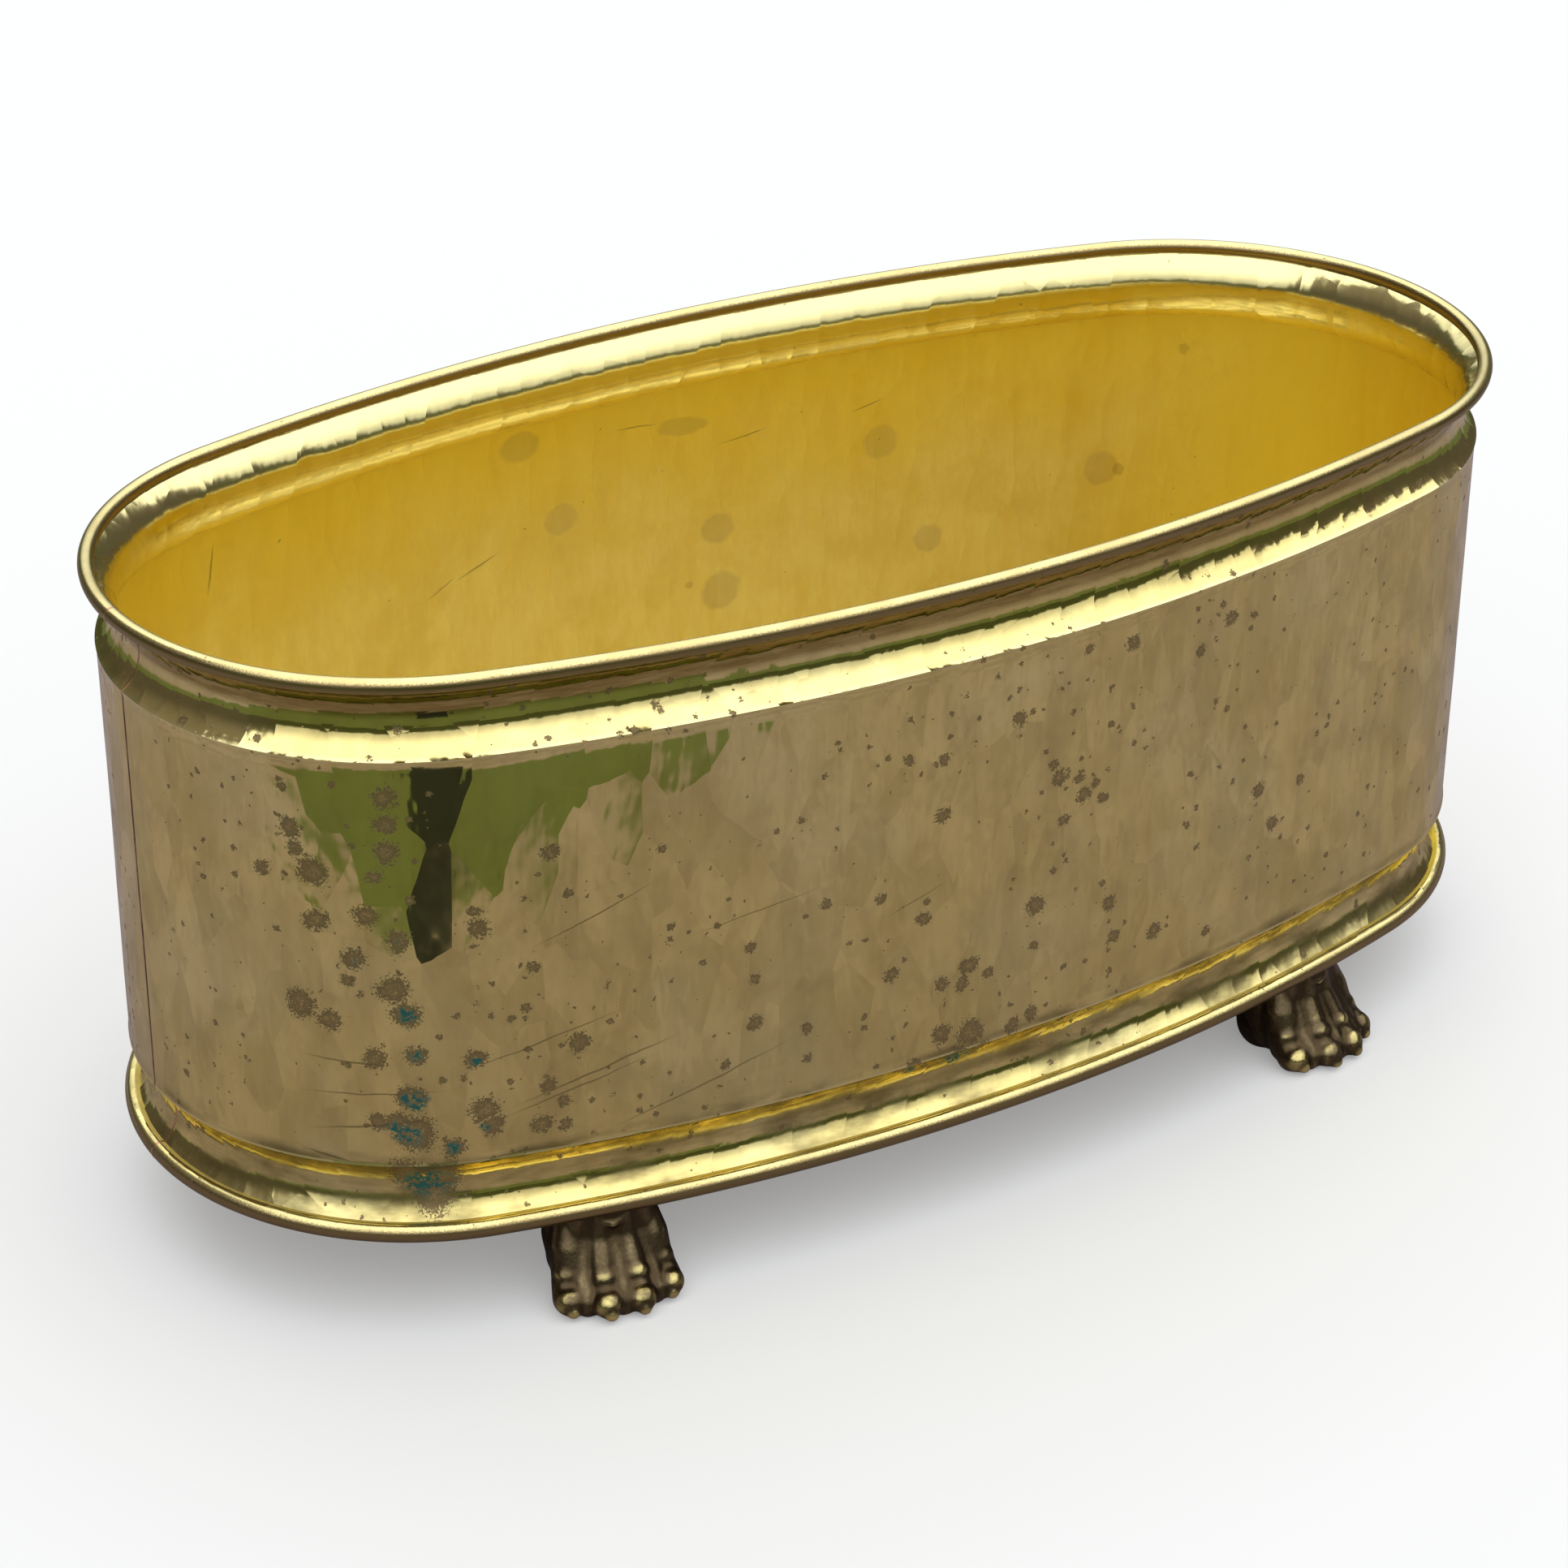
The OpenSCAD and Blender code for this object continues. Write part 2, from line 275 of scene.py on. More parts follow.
def hammer_dent(place):
    """How far the sheet stands out at a place: slow waves from the forming, and the tall
    shallow flats that the planishing hammer left side by side on the panel"""
    waves = LONG_WAVE_DEPTH * ripple(place, LONG_WAVE)
    waves += SHORT_WAVE_DEPTH * ripple(place, SHORT_WAVE)
    tall = Vector((place.x, place.y, place.z * HAMMER_SQUASH))
    near = noise.voronoi(tall / FLAT_W)[0][0]
    flats = FLAT_DEPTH * (near * near - 0.25)
    edge = min(place.z - BASE_CREASE_Z, RIM_CREASE_Z - place.z)
    on_panel = min(max(edge / PANEL_EASE, 0), 1)
    return waves * (GROOVE_SHARE + (1 - GROOVE_SHARE) * on_panel) + flats * on_panel


def dress_sheet(bm):
    """Moves every point by its dent, and lays out a map of distance along and height"""
    layer = bm.loops.layers.uv.new("along_and_up")
    along = {}
    for v in bm.verts:
        run, out = plan_place(v.co.x, v.co.y)
        along[v] = run
        v.co += out * hammer_dent(v.co)
    for face in bm.faces:
        for loop in face.loops:
            loop[layer].uv = (along[loop.vert], loop.vert.co.z)


def paint_faces(bm, outside, inside, bead):
    """Gives the beads, the inside and the outside of the sheet their own finishes"""
    bead_low = BASE_WIRE_Z + 0.9 * BASE_BEAD_R
    bead_high = RIM_WIRE_Z - 0.9 * RIM_BEAD_R
    for face in bm.faces:
        middle = face.calc_center_median()
        out = plan_place(middle.x, middle.y)[1]
        if middle.z > bead_high or middle.z < bead_low:
            face.material_index = bead
        else:
            face.material_index = outside if face.normal.dot(out) > 0 else inside


def hammered_sheet(outside, inside, bead):
    bm = bmesh.new()
    open_turn = SEAM_W / 2 / END_R
    ring = section_ring(bm, sheet_section(), open_turn)
    end_steps = round(END_RUN / STEP)
    side_steps = round(SIDE_RUN / STEP)
    ring = spin(bm, ring, (-END_C, 0, 0), JOIN - open_turn, end_steps)
    ring = spin(bm, ring, (0, SIDE_C, 0), 2 * SIDE_HALF, side_steps)
    spin(bm, ring, (END_C, 0, 0), JOIN, end_steps)
    everything = bm.verts[:] + bm.edges[:] + bm.faces[:]
    bmesh.ops.mirror(bm, geom=everything, axis="Y", merge_dist=0.01 * MM)
    close_ends(bm)
    dress_sheet(bm)
    bm.normal_update()
    paint_faces(bm, 0, 1, 2)
    return finished(bm, "hammered_sheet", outside, inside, bead)


def brazed_seam(material):
    """The line of braze that fills the seam, a hair proud of the sheet on both faces"""
    bm = bmesh.new()
    half = 0.9 * SEAM_W / END_R
    ring = section_ring(bm, sheet_section(0.05 * MM), -half)
    spin(bm, ring, (-END_C, 0, 0), 2 * half, 2)
    close_ends(bm)
    dress_sheet(bm)
    return finished(bm, "brazed_seam", material)


# ---------------------------------------------------------------- the paws

class Clay:
    """A lump built up from overlapping balls, all sizes in mm"""

    def __init__(self):
        round_bm = bmesh.new()
        bmesh.ops.create_uvsphere(round_bm, u_segments=24, v_segments=14, radius=1)
        self.pellet = bpy.data.meshes.new("pellet")
        round_bm.to_mesh(self.pellet)
        round_bm.free()
        self.bm = bmesh.new()

    def ball(self, x, y, z, radius, stretch=(1, 1, 1)):
        size = Vector(stretch) * radius * MM
        shape = Matrix.Translation(Vector((x, y, z)) * MM) @ Matrix.Diagonal((*size, 1))
        self.pellet.transform(shape)
        self.bm.from_mesh(self.pellet)
        self.pellet.transform(shape.inverted())

    def limb(self, *joints, beads=9):
        """A tapering rod through the joints, each (x, y, z, radius)"""
        for a, b in zip(joints, joints[1:]):
            for i in range(beads + 1):
                self.ball(*(p + (q - p) * i / beads for p, q in zip(a, b)))


def mark_hollows(bm):
    """Stores how deep each point lies in a hollow (up to 1) or on a crest (down to -1)"""
    layer = bm.verts.layers.float.new("hollow")
    sculpted = {v: (v.co.copy(), v.normal.copy()) for v in bm.verts}
    relax(bm, 22)
    for v, (place, normal) in sculpted.items():
        v[layer] = max(-1, min(1, (v.co - place).dot(normal) / DEEPEST_HOLLOW))
        v.co = place


def lion_paw():
    """One paw about its screw's axis, with the toes towards -Y"""
    top = FOOT_H / MM
    clay = Clay()
    # The ankle, then the two sides of the pad
    clay.limb(
        (0, 0.5, top + 3, 11.3), (0, 0.2, top - 6, 11.0), (0, -0.5, 13, 12.2), (0, -1.5, 8, 12.4),
    )
    for side in (-1, 1):
        clay.limb(
            (side * 4, 2, top - 5, 8.2), (side * 6.6, -0.5, 14.5, 9.0), (side * 6.2, -3, 8, 8.6),
        )
        clay.limb((side * 5, 4, 12, 8.0), (side * 5.5, 2, 6, 8.4))
    # Each toe: its tendon, knuckle, tip and claw. The outer toes stand further back
    for toe in (-1.5, -0.5, 0.5, 1.5):
        back = TOE_CURVE * (toe * toe - 0.25)
        tip_x, tip_y = toe * 8.7, back - 19.6
        knuckle_x, knuckle_y = toe * 8.1, back - 14.6
        clay.limb(
            (toe * 4.6, -6.8 + 0.3 * back, top + 1, 3.3),
            (toe * 6.2, -8.6 + 0.5 * back, 17, 3.6),
            (toe * 7.6, knuckle_y + 2.2, 11.2, 3.7),
        )
        clay.ball(knuckle_x, knuckle_y, 9.0, 4.1, (0.94, 0.92, 0.82))
        clay.limb((knuckle_x, knuckle_y, 6.6, 4.2), (tip_x, tip_y + 1.6, 3.8, 4.1))
        clay.ball(tip_x, tip_y, 4.1, 4.15, (0.98, 0.96, 0.92))
        clay.ball(tip_x, tip_y - 2.9, 2.7, 1.9)
    # The web between the toes
    for gap in (-1, 0, 1):
        back = TOE_CURVE * gap * gap
        clay.limb(
            (gap * 5.2, -6.0 + 0.4 * back, top + 1, 3.6),
            (gap * 6.6, -7.6 + 0.6 * back, 17, 4.2),
            (gap * 8.0, back - 12.2, 8.8, 4.8),
            (gap * 8.6, back - 18.0, 3.4, 4.1),
        )
    # The flanks, and the hanging line of fur at the top
    for side in (-1, 1):
        clay.limb(
            (side * 8.4, -3.0, top - 4, 5.0), (side * 10.4, -6.5, 14, 5.2),
            (side * 11.2, -10.2, 5.2, 4.9),
        )
        clay.limb(
            (side * 5.0, -8.6, top + 1, 0.9), (side * 3.0, -10.3, top - 2.4, 0.9),
            (0, -11.0, top - 3.4, 1.0),
        )

    bpy.data.meshes.remove(clay.pellet)
    bm = baked(clay.bm, "paw_blank", "REMESH", mode="VOXEL", voxel_size=PAW_VOXEL, adaptivity=0)
    relax(bm, 9)
    cut_flat(bm, 0, True)
    cut_flat(bm, FOOT_H, False)
    bm.normal_update()
    mark_hollows(bm)
    return bm


def corner_place(corner):
    """Where a foot stands: on its screw's axis, and facing straight out of the body"""
    lo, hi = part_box(corner + "_screw")
    axis = Vector(((lo.x + hi.x) / 2, (lo.y + hi.y) / 2, 0))
    centre = Vector((0, SIDE_C if axis.y < 0 else -SIDE_C, 0))
    out = (axis - centre).normalized()
    return Matrix.Translation(axis) @ Matrix.Rotation(atan2(out.x, -out.y), 4, "Z")


def lion_paws(material):
    pattern = lion_paw()
    for corner in CORNERS:
        bm = pattern.copy()
        bm.transform(corner_place(corner))
        paw = finished(bm, corner + "_paw", material)
        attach(paw, ROOT)
        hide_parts(corner + "_foot")
    pattern.free()


# ---------------------------------------------------------------- finishes

class Nodes:
    """A shader's node tree, built up by short calls that return sockets"""

    def __init__(self, owner, end):
        owner.use_nodes = True
        self.tree = owner.node_tree
        self.tree.nodes.clear()
        self.end = self.tree.nodes.new(end)

    def node(self, kind, feeds, **settings):
        made = self.tree.nodes.new("ShaderNode" + kind)
        for key, value in settings.items():
            setattr(made, key, value)
        for key, value in feeds.items():
            if isinstance(value, bpy.types.NodeSocket):
                self.tree.links.new(value, made.inputs[key])
            else:
                made.inputs[key].default_value = value
        return made

    def show(self, shader):
        """Makes a shader the one that the tree gives out"""
        self.tree.links.new(shader, self.end.inputs["Surface"])

    def math(self, operation, a, b=0.0):
        return self.node("Math", {0: a, 1: b}, operation=operation).outputs[0]

    def times(self, a, b):
        return self.math("MULTIPLY", a, b)

    def plus(self, a, b):
        return self.math("ADD", a, b)

    def minus(self, a, b):
        return self.math("SUBTRACT", a, b)

    def most(self, a, b):
        return self.math("MAXIMUM", a, b)

    def least(self, a, b):
        return self.math("MINIMUM", a, b)

    def vector(self, operation, a, b):
        return self.node("VectorMath", {0: a, 1: b}, operation=operation).outputs[0]

    def along(self, a, way):
        """How far a place, or how much of a direction, lies along a way"""
        feeds = {0: a, 1: way}
        return self.node("VectorMath", feeds, operation="DOT_PRODUCT").outputs["Value"]

    def length(self, a):
        return self.node("VectorMath", {0: a}, operation="LENGTH").outputs["Value"]

    def part(self, a, axis):
        """One of a vector's three numbers"""
        return self.node("SeparateXYZ", {0: a}).outputs[axis]

    def scaled(self, a, factor):
        return self.node("VectorMath", {0: a, "Scale": factor}, operation="SCALE").outputs[0]

    def ease(self, value, start, end, low=0.0, high=1.0):
        """Goes smoothly from low to high as value goes from start to end"""
        feeds = {0: value, 1: start, 2: end, 3: low, 4: high}
        return self.node("MapRange", feeds, interpolation_type="SMOOTHSTEP").outputs[0]

    def blend(self, factor, a, b):
        """Mixes two colours"""
        feeds = {0: factor, 6: a, 7: b}
        return self.node("Mix", feeds, data_type="RGBA").outputs[2]

    def between(self, factor, a, b):
        """Mixes two numbers"""
        return self.node("Mix", {0: factor, 2: a, 3: b}, data_type="FLOAT").outputs[0]

    def stretched(self, place, scale):
        return self.node("Mapping", {"Vector": place, "Scale": scale}).outputs[0]

    def noise(self, place, size, detail=3.0, rough=0.55):
        feeds = {"Vector": place, "Scale": 1 / size, "Detail": detail, "Roughness": rough}
        return self.node("TexNoise", feeds).outputs[0]

    def warped(self, place, size, reach):
        feeds = {"Vector": place, "Scale": 1 / size, "Detail": 3.0}
        swirl = self.vector("SUBTRACT", self.node("TexNoise", feeds).outputs[1], (0.5, 0.5, 0.5))
        return self.vector("ADD", place, self.scaled(swirl, reach))


class Finish(Nodes):
    """A material for one of the pieces, on the piece's own coordinates"""

    def __init__(self, name):
        self.material = bpy.data.materials.new(name)
        super().__init__(self.material, "ShaderNodeOutputMaterial")
        self.solid = self.node("TexCoord", {}).outputs["Object"]

    def cells(self, place, size):
        """Scattered points: the distance to the nearest, in cells, and its own random number"""
        made = self.node("TexVoronoi", {"Vector": place, "Scale": 1 / size})
        pick = self.node("SeparateColor", {0: made.outputs["Color"]}).outputs[0]
        return made.outputs["Distance"], pick

    def nearest_mark(self, place, marks):
        """Nearness to the closest of some marks, 0 at its middle and 1 at its edge. A mark
        is (along, up, half length, half width, tilt), in mm and degrees"""
        nearest = None
        for along, up, half_l, half_w, tilt in marks:
            local = self.node("Mapping", {
                "Vector": place,
                "Location": (along * MM, up * MM, 0),
                "Rotation": (0, 0, radians(tilt)),
                "Scale": (half_l * MM, half_w * MM, 1),
            }, vector_type="TEXTURE").outputs[0]
            reach = self.length(local)
            nearest = reach if nearest is None else self.least(nearest, reach)
        return nearest

    def nearest_spot(self, place, spots):
        """Nearness to the closest of some round spots, given by radius"""
        nearest = None
        for radius, middles in spots.items():
            reach = None
            for along, up in middles:
                feeds = {0: place, 1: (along * MM, up * MM, 0)}
                gap = self.node("VectorMath", feeds, operation="DISTANCE").outputs["Value"]
                reach = gap if reach is None else self.least(reach, gap)
            reach = self.math("DIVIDE", reach, radius * MM)
            nearest = reach if nearest is None else self.least(nearest, reach)
        return nearest

    def scattered_spots(self, place, size, rarity, largest):
        """Nearness to randomly sized spots, on the cells whose number is above rarity"""
        distance, pick = self.cells(place, size)
        radius = self.ease(pick, rarity, 1.0, 0.0001, largest)
        return self.math("DIVIDE", distance, radius)

    def bumped(self, height, depth, under=None):
        feeds = {"Height": height, "Distance": depth, "Strength": 1.0}
        if under is not None:
            feeds["Normal"] = under
        return self.node("Bump", feeds).outputs[0]

    def hammer_marks(self):
        """Overlapping shallow dishes, taller than wide, as a planishing hammer leaves"""
        tall = self.stretched(self.solid, (1, 1, HAMMER_SQUASH))
        place = self.warped(tall, 2 * HAMMER_W, 0.35 * HAMMER_W)
        reach = self.cells(place, HAMMER_W)[0]
        dish = self.times(reach, reach)
        wave = self.times(self.noise(place, 0.9 * HAMMER_W, 2.0), 0.6)
        return self.bumped(self.plus(dish, wave), HAMMER_DEPTH)

    def metal(self, colour, roughness, normal, metallic=1.0):
        feeds = {
            "Base Color": colour, "Roughness": roughness, "Metallic": metallic, "Normal": normal,
        }
        self.show(self.node("BsdfPrincipled", feeds).outputs[0])
        return self.material


BRASS = (0.88, 0.74, 0.29, 1)
BRASS_WARM = (0.82, 0.65, 0.24, 1)
BRASS_PALE = (0.90, 0.79, 0.37, 1)
OXIDE = (0.185, 0.122, 0.056, 1)
OXIDE_EDGE = (0.105, 0.070, 0.034, 1)
OXIDE_GRAIN = (0.44, 0.29, 0.12, 1)
GRIME = (0.10, 0.072, 0.032, 1)
VERDIGRIS = (0.035, 0.155, 0.135, 1)
# Painted reflection colour for the crescents along the hammer marks' edges
CRESCENT_REFLECTION = (0.66, 0.52, 0.21, 1)
# Painted shadow colour for the groove just under the rim bead
RIM_SHADOW_PAINT = (0.36, 0.25, 0.075, 1)
GOLD = (0.99, 0.88, 0.38, 1)
GOLD_WARM = (0.93, 0.77, 0.24, 1)
GOLD_PALE = (0.97, 0.87, 0.42, 1)
GOLD_DULL = (0.86, 0.68, 0.18, 1)
# Painted reflected light: the saturated gold of light bouncing inside the pot
GOLD_BOUNCE_TINT = (0.94, 0.74, 0.09, 1)
DRIP = (0.42, 0.28, 0.06, 1)
DROP = (0.34, 0.22, 0.06, 1)
EDGE = (0.84, 0.72, 0.33, 1)
EDGE_WARM = (0.70, 0.57, 0.25, 1)
# Tarnish mixed with painted shade, for the beads' downward-facing sides
TARNISH_AND_SHADE = (0.34, 0.25, 0.115, 1)
CAST = (0.135, 0.100, 0.052, 1)
CAST_PALE = (0.185, 0.140, 0.075, 1)
# Brown patina together with painted shade, for the paws' hollows
CAST_PATINA_AND_SHADE = (0.075, 0.052, 0.027, 1)
PLATE = (0.96, 0.84, 0.40, 1)
PLATE_LINE = (0.90, 0.77, 0.34, 1)
TURNED = (0.72, 0.56, 0.23, 1)
TURNED_LINE = (0.60, 0.45, 0.17, 1)
SOLDER_DARK = (0.46, 0.46, 0.45, 1)
SOLDER = (0.62, 0.62, 0.60, 1)
SOLDER_DULL = (0.20, 0.19, 0.17, 1)
WIRE = (0.36, 0.35, 0.34, 1)
WIRE_DARK = (0.27, 0.26, 0.25, 1)
RUST = (0.20, 0.075, 0.028, 1)
BRAZE = (0.62, 0.33, 0.20, 1)
BRAZE_PALE = (0.70, 0.44, 0.27, 1)
BRAZE_DARK = (0.16, 0.075, 0.045, 1)

# Middles of the brown oxide spots on the front, along and up in mm, by the spots' radius
OXIDE_SPOTS = {
    1.7: (
        (98, 118), (67, 100), (112, 100), (119, 61), (119, 54), (268, 114), (270, 109), (188, 101),
        (204, 99), (211, 136), (221, 134), (258, 106), (236, 68), (250, 72), (183, 67), (161, 62),
        (168, 94), (169, 85), (301, 142), (264, 153), (342, 91), (309, 56), (254, 123), (262, 117),
    ),
    2.4: (
        (75, 129), (47, 128), (115, 66), (117, 131), (221, 118), (243, 139), (256, 119), (264, 112),
        (216, 90), (222, 69), (228, 67), (244, 50), (250, 51), (207, 76), (169, 72), (332, 81),
        (326, 93), (278, 151), (311, 148), (274, 77), (276, 66), (290, 63), (56, 135), (73, 60),
    ),
    3.1: (
        (78, 150), (78, 143), (78, 135), (60, 116), (72, 118), (80, 111), (99, 113), (69, 106),
        (73, 78), (83, 79), (97, 77), (123, 77), (113, 55), (91, 52), (230, 72), (222, 54),
        (55, 140), (62, 88), (250, 84), (227, 46), (214, 46), (235, 45), (77, 60), (101, 57),
    ),
    4.0: ((60, 129), (55, 92), (78, 98), (81, 91), (99, 62), (81, 67), (231, 52)),
    5.4: ((82, 57), (79, 44), (88, 42), (86, 36)),
}
# Patches where the oxide has turned green
GREEN_PATCHES = (
    (82, 66, 3.2, 3.2, 0), (79, 57, 4.6, 2.8, -25), (91, 52, 2.4, 1.6, 0), (81, 91, 2, 2.6, 20),
    (83, 79, 1.8, 1.8, 0), (97, 76, 1.5, 1.3, 0), (84, 40, 7, 4.2, 0), (229, 43, 3.6, 2.6, 0),
    (215, 44, 2.2, 1.5, 0), (80, 111, 0.9, 0.9, 0), (69, 105, 0.9, 1, 0), (99, 57, 1.3, 1.1, 0),
)
# Long fine scratches low on the front
SCRATCHES = (
    (72, 59, 20, 0.5, 8), (128, 68, 27, 0.42, 16), (122, 64, 24, 0.35, 15), (156, 58, 32, 0.35, 17),
    (92, 47, 28, 0.35, 4), (114, 79, 24, 0.32, 14), (66, 77, 14, 0.4, -3), (72, 68, 22, 0.32, 2),
    (128, 112, 20, 0.3, 22), (214, 96, 12, 0.22, 17), (170, 104, 22, 0.22, 9),
    (60, 49, 9, 0.5, -12),
)
# Round stains left by drips on the inside
INSIDE_STAINS = (
    (708, 93, 7, 6.5, 0), (709, 113, 6, 5, 0), (656, 130, 6, 6, 0), (585, 111, 6, 6, 0),
    (720, 147, 9, 3, 5), (773, 153, 7, 5, 0), (760, 128, 6, 5, 0), (640, 96, 5, 5, 0),
    (200, 90, 7, 6, 0), (260, 120, 6, 6, 0), (150, 140, 6, 5, 0), (480, 100, 6, 6, 0),
)
INSIDE_SCRATCHES = (
    (876, 148, 0.5, 9, 12), (788, 121, 9, 0.4, -18), (800, 118, 7, 0.3, -24),
    (700, 140, 10, 0.35, -8), (735, 150, 8, 0.35, 6), (660, 142, 7, 0.3, -12),
)


def hammered_outside():
    """Polished brass, softly streaked from top to bottom, with oxide spots and scratches"""
    f = Finish("hammered_brass_outside")
    plan = f.node("UVMap", {}, uv_map="along_and_up").outputs[0]
    up = f.part(f.solid, 2)
    tall = f.stretched(f.solid, (1, 1, 0.16))

    streaks = f.noise(tall, 3.2 * MM, 4.0)
    clouds = f.noise(f.solid, 45 * MM, 4.0)
    metal = f.blend(f.ease(streaks, 0.35, 0.7, 0.0, 0.45), BRASS, BRASS_WARM)
    metal = f.blend(f.ease(clouds, 0.4, 0.7, 0.0, 0.7), metal, BRASS_PALE)
    # Painted reflection: darker crescents along the edges of the hammer marks, faded in and out by
    # a noise
    tall_cells = f.warped(f.stretched(f.solid, (1, 1, HAMMER_SQUASH)), 2 * HAMMER_W, 3 * MM)
    reflected_crescents = f.ease(f.cells(tall_cells, HAMMER_W)[0], 0.35, 0.62)
    reflected_crescents = f.times(reflected_crescents, f.ease(f.noise(f.solid, 9 * MM, 2.0), 0.42, 0.6))
    metal = f.blend(f.times(reflected_crescents, 0.3), metal, CRESCENT_REFLECTION)
    haze = f.ease(f.noise(f.stretched(f.solid, (1, 1, 0.4)), 12 * MM, 4.0), 0.35, 0.75)
    lines = f.noise(f.stretched(f.solid, (0.12, 0.12, 1)), 1.4 * MM, 2.0)
    # Painted shadow: a streaky dark band in the rim's groove, just under the rim bead
    painted_rim_shadow = f.times(
        f.ease(up, RIM_CREASE_Z + 0.44 * GROOVE_H, RIM_CREASE_Z + 0.56 * GROOVE_H),
        f.ease(lines, 0.2, 0.7, 0.6, 0.95),
    )

    ragged = f.warped(f.warped(plan, 5 * MM, 3.2 * MM), 1.0 * MM, 1.5 * MM)
    named = f.nearest_spot(ragged, OXIDE_SPOTS)
    clusters = f.ease(f.noise(f.solid, 34 * MM, 2.0), 0.36, 0.58)
    crumbly = f.warped(f.solid, 1.6 * MM, 1.5 * MM)
    middling = f.scattered_spots(crumbly, 12 * MM, 0.3, 0.125)
    specks = f.scattered_spots(crumbly, 4.0 * MM, 0.0, 0.24)
    specks = f.math("DIVIDE", specks, f.plus(clusters, 0.18))
    pits = f.scattered_spots(f.solid, 2.6 * MM, 0.6, 0.13)
    nearest = f.least(named, f.least(middling, specks))

    crumbs = f.noise(f.solid, 0.62 * MM, 3.0, 0.7)
    frayed = f.plus(nearest, f.times(f.minus(crumbs, 0.5), 2.6))
    spotted = f.ease(frayed, 1.02, 0.8)
    outline = f.times(f.ease(frayed, 0.5, 0.85), spotted)
    grain = f.ease(crumbs, 0.48, 0.6)
    core = f.ease(nearest, 0.9, 0.2)
    oxide = f.blend(f.times(grain, core), OXIDE, OXIDE_GRAIN)
    oxide = f.blend(outline, oxide, OXIDE_EDGE)
    greened = f.nearest_mark(f.warped(ragged, 2.2 * MM, 2.6 * MM), GREEN_PATCHES)
    powder = f.ease(f.noise(f.solid, 1.3 * MM, 3.0), 0.42, 0.54)
    green = f.times(f.ease(greened, 1.4, 0.7), powder)
    oxide = f.blend(green, oxide, VERDIGRIS)

    scratched = f.ease(f.nearest_mark(f.warped(plan, 12 * MM, 1.6 * MM), SCRATCHES), 1.0, 0.3)
    pitted = f.ease(pits, 1.0, 0.6)
    # Darker and rougher in streaks just above the base crease
    base_crease_band = f.times(
        f.ease(up, BASE_CREASE_Z + 4.5 * MM, BASE_CREASE_Z + 0.5 * MM),
        f.ease(f.noise(f.stretched(f.solid, (1, 1, 3)), 22 * MM, 4.0), 0.36, 0.7),
    )
    from_creases = [f.math("ABSOLUTE", f.minus(up, z)) for z in (RIM_CREASE_Z, BASE_CREASE_Z)]
    crease_wear = f.most(*(f.ease(far, 0.8 * MM, 0.2 * MM) for far in from_creases))

    shown = f.blend(f.times(haze, 0.15), metal, OXIDE)
    shown = f.blend(painted_rim_shadow, shown, RIM_SHADOW_PAINT)
    shown = f.blend(f.times(base_crease_band, 0.7), shown, GRIME)
    shown = f.blend(f.times(scratched, 0.55), shown, GRIME)
    shown = f.blend(f.times(pitted, 0.5), shown, GRIME)
    shown = f.blend(crease_wear, shown, BRASS_PALE)
    covered = f.most(f.times(spotted, 0.88), green)
    shown = f.blend(covered, shown, oxide)

    rough = f.between(haze, 0.06, 0.13)
    rough = f.between(f.most(scratched, base_crease_band), rough, 0.34)
    rough = f.between(covered, rough, 0.46)
    bare = f.between(covered, 1.0, 0.75)

    dents = f.hammer_marks()
    fine = f.minus(f.times(streaks, 0.22), f.times(pitted, 0.6))
    return f.metal(shown, rough, f.bumped(fine, 0.03 * MM, dents), bare)


